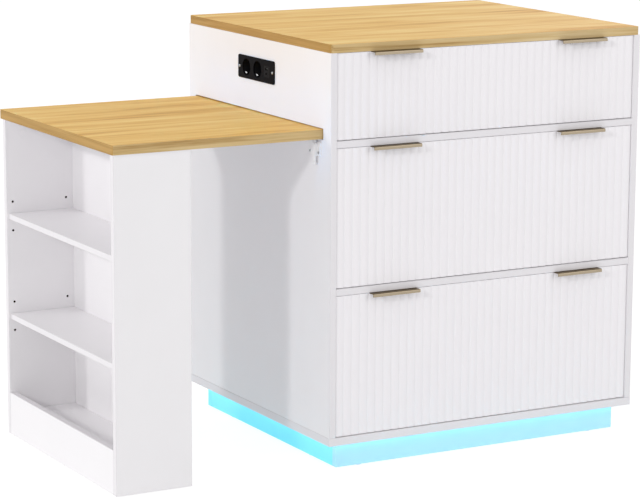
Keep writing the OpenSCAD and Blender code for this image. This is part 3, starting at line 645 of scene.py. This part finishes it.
# %% Screw heads
def screw_head(bm, at, radius, finish, turn=Matrix(), height=1.2 * MM):
    """A head with a cross slot. Its finish is a material's number, and the next is the slot's
    painted shade.
    """
    made = bmesh.ops.create_cone(bm, cap_ends=True, segments=24, radius1=radius,
                                 radius2=radius * 0.82, depth=height,
                                 matrix=Matrix.Translation((0, 0, height / 2)))["verts"]
    for face in {face for vert in made for face in vert.link_faces}:
        face.material_index = finish
    # The slot is two dark bars of painted shade
    for across in ((1.1, 0.26), (0.26, 1.1)):
        size = Matrix.Diagonal((across[0] * radius, across[1] * radius, 0.1 * MM, 1))
        bar = bmesh.ops.create_cube(bm, size=1, matrix=Matrix.Translation((0, 0, height)) @ size)
        made += bar["verts"]
        for face in {face for vert in bar["verts"] for face in vert.link_faces}:
            face.material_index = finish + 1
    bmesh.ops.transform(bm, matrix=Matrix.Translation(at) @ turn, verts=made)


# The radius of each kind of head
PULL_HEAD, PLATE_HEAD, LOCK_HEAD = 3.2 * MM, 3.0 * MM, 3.4 * MM
print("screw heads of radius", [round(v / MM, 1) for v in (PULL_HEAD, PLATE_HEAD, LOCK_HEAD)])

# %% [markdown]
# ## The bent sheet of an edge pull
#
# A pull is a strip of sheet metal, screwed to the top of the drawer front, that reaches
# over its face and is bent down into a lip for the fingers. It could be two thin boxes,
# but the bend is what catches the light. So its outer skin is drawn as a line: back to
# front, a quarter turn of 1.8 mm, and down. Pulled along X, the line is a bent sheet.

# %% Bent sheet
PULL_LENGTH, PULL_THICK, LIP, BEND = 116 * MM, 1 * MM, 7 * MM, 1.8 * MM


def bent_sheet(bm, x, top, front, back):
    """Draw a pull's outer skin from its left end, over the front and down to the lip."""
    start = bm.verts.new((x, back, top + PULL_THICK))
    flange = bmesh.ops.extrude_vert_indiv(bm, verts=[start])
    flange["verts"][0].co.y = front + BEND
    turned = bmesh.ops.spin(bm, geom=flange["verts"], axis=(1, 0, 0), angle=radians(90), steps=5,
                            cent=(x, front + BEND, top + PULL_THICK - BEND))["geom_last"]
    tip = bmesh.ops.extrude_vert_indiv(bm, verts=verts_of(turned))["verts"][0]
    tip.co.z = top + PULL_THICK - LIP
    line = [edge for edge in bm.edges if not edge.link_faces]
    sheet = bmesh.ops.extrude_edge_only(bm, edges=line)["geom"]
    bmesh.ops.translate(bm, vec=(PULL_LENGTH, 0, 0), verts=verts_of(sheet))


print("pull", [round(v / MM, 1) for v in (PULL_LENGTH, PULL_THICK, LIP)], "mm")

# %% [markdown]
# ## Edge pulls
#
# Solidify gives the skin its 1 mm. The lip's corners are rounded by 1.4 mm and the other
# edges by 0.2 mm, as a stamped and tumbled strip has them. The lip's face is brushed
# bright, and every other face is painted duller and browner, as painted shade. Two screws
# in the flange hold a pull.

# %% Pulls
PULL_SCREW_INSET, PULL_SCREW_BACK = 20 * MM, 6 * MM

for drawer in ("upper", "middle", "lower"):
    low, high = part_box(drawer + "_handles")
    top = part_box(drawer + "_front")[1].z
    left_ends = (low.x, high.x - PULL_LENGTH)
    bm = bmesh.new()
    for x in left_ends:
        bent_sheet(bm, x, top, low.y, high.y)
    bmesh.ops.recalc_face_normals(bm, faces=bm.faces)
    if sum(face.normal.z for face in bm.faces) < 0:
        bmesh.ops.reverse_faces(bm, faces=bm.faces)
    bmesh.ops.solidify(bm, geom=bm.faces[:], thickness=PULL_THICK)
    corners = [edge for edge in bm.edges if edge.calc_length() < 1.1 * PULL_THICK
               and degrees(edge.calc_face_angle(0)) > 80]
    soften(bm, 1.4, edges=corners, segments=3)
    soften(bm, 0.2, longer=0.5)
    for face in bm.faces:
        # The lip's front keeps the brushed bronze, and every other face takes the painted shade
        face.material_index = 0 if face.normal.y < -0.8 else 1
    for x in left_ends:
        for inset in (PULL_SCREW_INSET, PULL_LENGTH - PULL_SCREW_INSET):
            screw_head(bm, (x + inset, high.y - PULL_SCREW_BACK, top), PULL_HEAD, 2,
                       height=1.1 * MM)
    pulls = into_piece(bm, drawer + "_pulls", [bronze, bronze_painted_shade, zinc, black_nylon],
                       "bronze_handle", drawer + "_handles", drawer + "_handles")
    print("  CAD box", [[round(v / MM, 1) for v in corner] for corner in (low, high)],
          "piece", span(pulls))

# %% [markdown]
# ## Socket plate and inserts
#
# The black plate holds two round sockets and a charging module. The plate and the inserts
# are moulded, and a mould is never sharp, so their solids are copied and all their edges
# are rounded by 0.4 mm.

# %% Socket plate and inserts
plate_low, plate_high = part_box("socket_plate")
plate_mid = (plate_low + plate_high) / 2
for node, paint, slot in (("socket_plate", black_abs, "black_gloss"),
                          ("socket_inserts", black_nylon, "black_plastic")):
    bm = solid_of(node)
    soften(bm, 0.4, 0.5)
    into_piece(bm, node + "_moulding", [paint], slot, node, node)

# %% [markdown]
# ## Earth clips
#
# In each recess lie two spring clips for the earth contact, on a slant, and they are the
# bright points one sees. A flat plate would shine in one direction only, so a clip is a
# shallow arc along the recess, spun as a line, widened into a strip and thickened. It is
# drawn at the top of a recess round the X axis, and then turned and moved to its place.

# %% Earth clips
CLIP_WIDTH, CLIP_HALF_LENGTH, CLIP_THICK, CLIP_BOW = 5 * MM, 5.8 * MM, 0.5 * MM, 9 * MM
CLIP_REACH, CLIP_IN = 15.6 * MM, 7 * MM
SOCKETS_ASIDE = (44 * MM, -7 * MM)
CLIP_SLANTS = (radians(-140), radians(40))


def earth_clip(bm, y, z, slant):
    """A bowed spring strip, nearly 12 mm long, against the wall of a recess."""
    half = asin(CLIP_HALF_LENGTH / CLIP_BOW)
    start = bm.verts.new((plate_high.x + CLIP_IN, 0, CLIP_REACH))
    bmesh.ops.rotate(bm, verts=[start], matrix=Matrix.Rotation(half, 3, "Y"),
                     cent=(start.co.x, 0, start.co.z + CLIP_BOW))
    bmesh.ops.spin(bm, geom=[start], axis=(0, 1, 0), angle=-2 * half, steps=8,
                   cent=(plate_high.x + CLIP_IN, 0, CLIP_REACH + CLIP_BOW))
    line = [edge for edge in bm.edges if not edge.link_faces]
    strip = bmesh.ops.extrude_edge_only(bm, edges=line)["geom"]
    bmesh.ops.translate(bm, vec=(0, CLIP_WIDTH, 0), verts=verts_of(strip))
    skin = [part for part in strip if isinstance(part, bmesh.types.BMFace)]
    whole = bmesh.ops.solidify(bm, geom=skin, thickness=CLIP_THICK)["geom"]
    verts = list({vert for face in skin for vert in face.verts} | set(verts_of(whole)))
    bmesh.ops.translate(bm, vec=(0, -CLIP_WIDTH / 2, 0), verts=verts)
    bmesh.ops.rotate(bm, verts=verts, matrix=Matrix.Rotation(slant, 3, "X"))
    bmesh.ops.translate(bm, vec=(0, y, z), verts=verts)


bm = bmesh.new()
for aside in SOCKETS_ASIDE:
    for slant in CLIP_SLANTS:
        earth_clip(bm, plate_mid.y + aside, plate_mid.z, slant)
bmesh.ops.recalc_face_normals(bm, faces=bm.faces)
clips = into_piece(bm, "earth_clips", [chrome], "zinc_steel", "socket_inserts")
print("  clips", span(clips))

# %% [markdown]
# ## Charging module
#
# The module is a small moulded block with a wide and a narrow charging port. The solid has
# the two openings. What the eye finds in one is the tongue that carries its contacts, a
# thin blade in the middle, so each tongue is a block let into its opening.

# %% Charging module
def block(bm, low, high):
    """Add a box between two corners and return its faces."""
    low, high = Vector(low), Vector(high)
    size = Matrix.Diagonal((*(high - low), 1))
    made = bmesh.ops.create_cube(bm, size=1, matrix=Matrix.Translation((low + high) / 2) @ size)
    return list({face for vert in made["verts"] for face in vert.link_faces})


# Each tongue's height above the middle, width, thickness and depth, in millimetres
TONGUES = ((5.9, 11, 1.6, 11.5), (-5.3, 6.6, 0.7, 9.5))
TONGUE_TIP = 1.5 * MM

low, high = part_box("charging_module")
middle = (low + high) / 2
bm = solid_of("charging_module")
soften(bm, 0.3, 2)
for up, width, thick, depth in TONGUES:
    near = (low.x + TONGUE_TIP, middle.y - width / 2 * MM, middle.z + (up - thick / 2) * MM)
    far = (low.x + depth * MM, middle.y + width / 2 * MM, middle.z + (up + thick / 2) * MM)
    for face in block(bm, near, far):
        face.material_index = 1
into_piece(bm, "charging_module_moulding", [black_nylon, sheath], "black_plastic",
           "charging_module", "charging_module")

# %% [markdown]
# ## The table's lock and the light's driver
#
# A white plastic housing on the side panel guides a bolt that is pushed up into the
# table's underside. The driver of the light tape is a white box inside the plinth's ring. All
# three are mouldings with softly rounded edges, and their solids have the right form, so
# they are copied and bevelled.

# %% Lock and driver
for node in ("lock_housing", "lock_bolt", "light_driver"):
    bm = solid_of(node)
    soften(bm, 0.5, 0.8)
    into_piece(bm, node + "_moulding", [white_abs], "white_plastic", node, node)

# %% [markdown]
# ## Screws of the socket plate and the lock
#
# Two screws hold the plate and two the lock's housing. They could belong to the parts that
# they hold, but the record has them as one node of four, so they are one piece here too,
# with every head turned to look out of the side panel.

# %% Plate and lock screws
PLATE_SCREW_ASIDE, LOCK_SCREW_ASIDE, LOCK_SCREW_DOWN = 76 * MM, 18.3 * MM, 22.5 * MM

outwards = Matrix.Rotation(radians(-90), 4, "Y")
lock_low, lock_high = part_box("lock_housing")
lock_mid = (lock_low + lock_high) / 2
bm = bmesh.new()
for side in (1, -1):
    screw_head(bm, (plate_low.x, plate_mid.y + side * PLATE_SCREW_ASIDE, plate_mid.z),
               PLATE_HEAD, 0, outwards)
for side in (1, -1):
    screw_head(bm, (plate_low.x, lock_mid.y + side * LOCK_SCREW_ASIDE,
                    lock_high.z - LOCK_SCREW_DOWN), LOCK_HEAD, 0, outwards)
into_piece(bm, "plate_and_lock_screws", [zinc, black_nylon], "zinc_steel", "small_screws",
           "small_screws")

# %% [markdown]
# ## Table guides
#
# Two white battens inside the cabinet keep the table square, and two strips of wool felt
# carry it. They share one node, and a face's place tells whether it is felt: the felt lies
# under the table, and the battens stand outside its edges.

# %% Battens and felt
table_low, table_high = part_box("table_board")
bm = solid_of("table_guides")
soften(bm, 0.3, 10)
for face in bm.faces:
    face.material_index = 1 if table_low.y < face.calc_center_median().y < table_high.y else 0
into_piece(bm, "guide_battens_and_felt", [melamine, felt], "white_melamine", "table_guides",
           "table_guides")

# %% [markdown]
# ## Castors
#
# The pillar rolls on two castors. A wheel has a rounded rubber tread on a lighter hub. It
# could be spun from a profile, but a disc keeps whole round sides, which inset can step
# in again and again: the rim, a hollow, the flat of the hub and its raised collar.

# %% Castor wheels
TREAD_ROUNDING, TREAD_HEIGHT = 2.2 * MM, 4 * MM
# Each step's width and its depth, in millimetres; a step down is negative
WHEEL_STEPS = ((1.5, 0.0), (1.0, -1.2), (5.5, 0.0), (0.8, 1.0))

for end in ("near", "far"):
    low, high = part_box("castor_wheel_" + end)
    middle, radius = (low + high) / 2, (high.z - low.z) / 2
    bm = bmesh.new()
    bmesh.ops.create_cone(bm, cap_ends=True, segments=48, radius1=radius, radius2=radius,
                          depth=high.y - low.y, matrix=Matrix.Translation(middle)
                          @ Matrix.Rotation(radians(90), 4, "X"))
    rims = [edge for face in bm.faces if len(face.verts) > 4 for edge in face.edges]
    bmesh.ops.bevel(bm, geom=rims, affect="EDGES", offset=TREAD_ROUNDING, offset_type="OFFSET",
                    segments=4, profile=0.5, material=-1, clamp_overlap=True)
    sides = [face for face in bm.faces if len(face.verts) > 4]
    for face in bm.faces:
        face.smooth = len(face.verts) == 4
    for wide, deep in WHEEL_STEPS:
        bmesh.ops.inset_region(bm, faces=sides, thickness=wide * MM, depth=deep * MM)
    for face in bm.faces:
        off = face.calc_center_median() - middle
        if Vector((off.x, off.z)).length < radius - TREAD_HEIGHT:
            face.material_index = 1
    into_piece(bm, f"castor_wheel_{end}_tread", [tread, hub], "castor_rubber",
               "castor_wheel_" + end, "castor_wheel_" + end)

# %% [markdown]
# ## Cover caps
#
# The table is held to its pillar by cam fittings, set into the inner faces of the two
# panels. Thin white caps are pressed over such fittings. A material could draw a ring, but
# a real disc, half a millimetre thick, shows only by the light on its rim, as a cap does.

# %% Caps over the pillar's fittings
FITTING_RADIUS = 7.5 * MM
CAP_RADIUS, CAP_TOP_RADIUS, CAP_THICK = 8.6 * MM, 8.2 * MM, 0.5 * MM

low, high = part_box("pillar_fittings")
near_face, far_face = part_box("pillar_near_panel")[1].y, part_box("pillar_far_panel")[0].y
bm = bmesh.new()
for x in (low.x + FITTING_RADIUS, high.x - FITTING_RADIUS):
    for y, side in ((near_face, 1), (far_face, -1)):
        middle = (x, y + side * CAP_THICK / 2, low.z + FITTING_RADIUS)
        bmesh.ops.create_cone(bm, cap_ends=True, segments=40, radius1=CAP_RADIUS,
                              radius2=CAP_TOP_RADIUS, depth=CAP_THICK,
                              matrix=Matrix.Translation(middle)
                              @ Matrix.Rotation(radians(-90 * side), 4, "X"))
into_piece(bm, "fitting_cover_caps", [melamine], "white_melamine", "pillar_near_panel")

# %% [markdown]
# ## Parts that keep their solid
#
# The runners, slides, cams, pins, forks, glides, cable and back box have the right shape
# already. They could be copied too, but nothing would be gained, so they only get the
# finish that the record's slot names.

# %% Finishes of the remaining parts
finishes = {
    "zinc_steel": zinc, "black_plastic": black_nylon, "black_gloss": black_abs,
    "white_plastic": white_abs, "cable_sheath": sheath, "castor_rubber": tread,
    "light_tape": tape_light, "white_melamine": melamine,
}
slots = {part["node"]: part["material_slot"] for part in frame["record"]["subparts"]}
finished = [node for node in frame["nodes"] if slots[node] in finishes]
for node in finished:
    mesh = frame["nodes"][node].data
    mesh.materials.clear()
    mesh.materials.append(finishes[slots[node]])
print("finishes set on", len(finished), "nodes, whether they show or are stood for")

# %% [markdown]
# ## What the eye sees apart from the light
#
# The unit stands on a plain pale floor in an even, white studio. White could come from
# stronger lamps, but then the unit's own whites would burn out. So the floor and the world
# look white to the camera, and in gloss and glass, and stay dimmer for the light that they
# throw on the unit. The Light Path node tells the two kinds of ray apart.

# %% Helper for the floor and the world
def looked_at(tree):
    """1 for a ray from the camera, a gloss or a glass, and 0 for light that falls on things."""
    path = add(tree, "LightPath")
    near = add(tree, "Math", {0: path.outputs["Is Camera Ray"], 1: path.outputs["Is Glossy Ray"]},
               operation="MAXIMUM")
    return add(tree, "Math", {0: near.outputs[0], 1: path.outputs["Is Transmission Ray"]},
               operation="MAXIMUM").outputs[0]


WHITE = (1, 1, 1, 1)
print("two kinds of ray for the floor and the world")

# %% [markdown]
# ## Floor
#
# The floor is one wide sheet. To the lamps it is pale grey, with a little light of its own
# in place of the bounce from a studio's walls. To the camera it is nearly white, and keeps
# enough of the lamps' light to show the unit's shadow.

# %% Floor
FLOOR_HALF_WIDTH = 30
FLOOR_LIGHT, FLOOR_LOOK = 0.19, 0.87

bm = bmesh.new()
bmesh.ops.create_grid(bm, x_segments=1, y_segments=1, size=FLOOR_HALF_WIDTH)
mesh = bpy.data.meshes.new("studio_floor")
bm.to_mesh(mesh)
bm.free()
floor = bpy.data.objects.new("studio_floor", mesh)
bpy.context.scene.collection.objects.link(floor)
floor_paint, tree, place = material("white_studio_floor")
ground = add(tree, "BsdfDiffuse", {"Color": (0.85, 0.85, 0.85, 1)})
lift = add(tree, "Emission", {"Color": WHITE, "Strength": FLOOR_LIGHT})
real = add(tree, "AddShader", {0: ground.outputs[0], 1: lift.outputs[0]})
faint = add(tree, "BsdfDiffuse", {"Color": (0.25, 0.25, 0.25, 1)})
white = add(tree, "Emission", {"Color": WHITE, "Strength": FLOOR_LOOK})
pale = add(tree, "AddShader", {0: faint.outputs[0], 1: white.outputs[0]})
mixed = add(tree, "MixShader", {0: looked_at(tree), 1: real.outputs[0], 2: pale.outputs[0]})
add(tree, "OutputMaterial", {"Surface": mixed.outputs[0]})
mesh.materials.append(floor_paint)
print("floor", 2 * FLOOR_HALF_WIDTH, "m wide")

# %% [markdown]
# ## World
#
# The world is the studio's even light. It is pure white to the camera, and gives the unit
# six tenths of that, so that a shaded face keeps its tone and the lamps still shape it.

# %% World
WORLD_LIGHT, WORLD_LOOK = 0.6, 1.0

world = bpy.data.worlds.new("studio")
bpy.context.scene.world = world
world.use_nodes = True
tree = world.node_tree
tree.nodes.clear()
dim = add(tree, "Background", {"Color": WHITE, "Strength": WORLD_LIGHT})
bright = add(tree, "Background", {"Color": WHITE, "Strength": WORLD_LOOK})
mixed = add(tree, "MixShader", {0: looked_at(tree), 1: dim.outputs[0], 2: bright.outputs[0]})
add(tree, "OutputWorld", {"Surface": mixed.outputs[0]})
print("world lights with", WORLD_LIGHT, "and shows", WORLD_LOOK)

# %% [markdown]
# ## Lamps
#
# Every lamp is an area lamp, because a wide source gives soft shadows. Two stand far off
# on the left, one before and one behind the unit. The pillar and the table keep each of
# them from a part of the side panel, and where both are kept out lies a darker upright
# band with two soft edges. The front lamp stands to the right, so that the ribs shade
# each other. One lamp overhead and one behind fill in. The oak table throws warm light
# up at the white panel, and a narrow, faint, blue strip of light evens that out.

# %% Lamps
def softbox(name, at, towards, width, height, power, colour=(1, 1, 1), beam=180):
    """An area lamp. Its place and size are in metres, and its beam is an angle in degrees."""
    lamp = bpy.data.lights.new(name, "AREA")
    lamp.shape, lamp.size, lamp.size_y, lamp.energy = "RECTANGLE", width, height, power
    lamp.color, lamp.spread = colour, radians(beam)
    box = bpy.data.objects.new(name, lamp)
    box.location = at
    box.rotation_euler = (Vector(towards) - Vector(at)).to_track_quat("-Z", "Y").to_euler()
    bpy.context.scene.collection.objects.link(box)
    print(f"{name:20s} {power:6.2f} W at", at)


UNIT_MIDDLE, WARM_PANEL = (-0.15, 0, 0.45), (-0.15, -0.02, 0.74)
softbox("left_front_softbox", (-14.65, -6.8, 7.0), UNIT_MIDDLE, 1.4, 1.4, 552)
softbox("left_back_softbox", (-14.65, 5.95, 7.0), UNIT_MIDDLE, 1.8, 1.8, 512)
softbox("front_softbox", (3.0, -4.6, 2.2), UNIT_MIDDLE, 3.0, 2.0, 41)
softbox("overhead_softbox", (0.3, 0.2, 4.0), UNIT_MIDDLE, 2.4, 2.4, 7)
softbox("back_right_softbox", (4.2, 4.2, 2.6), UNIT_MIDDLE, 2.0, 2.0, 18)
softbox("cool_fill", (-4.2, -0.4, 1.7), WARM_PANEL, 0.6, 0.1, 0.09, (0.0, 0.4, 1.0), 4)
bpy.context.scene.view_settings.view_transform = "Standard"
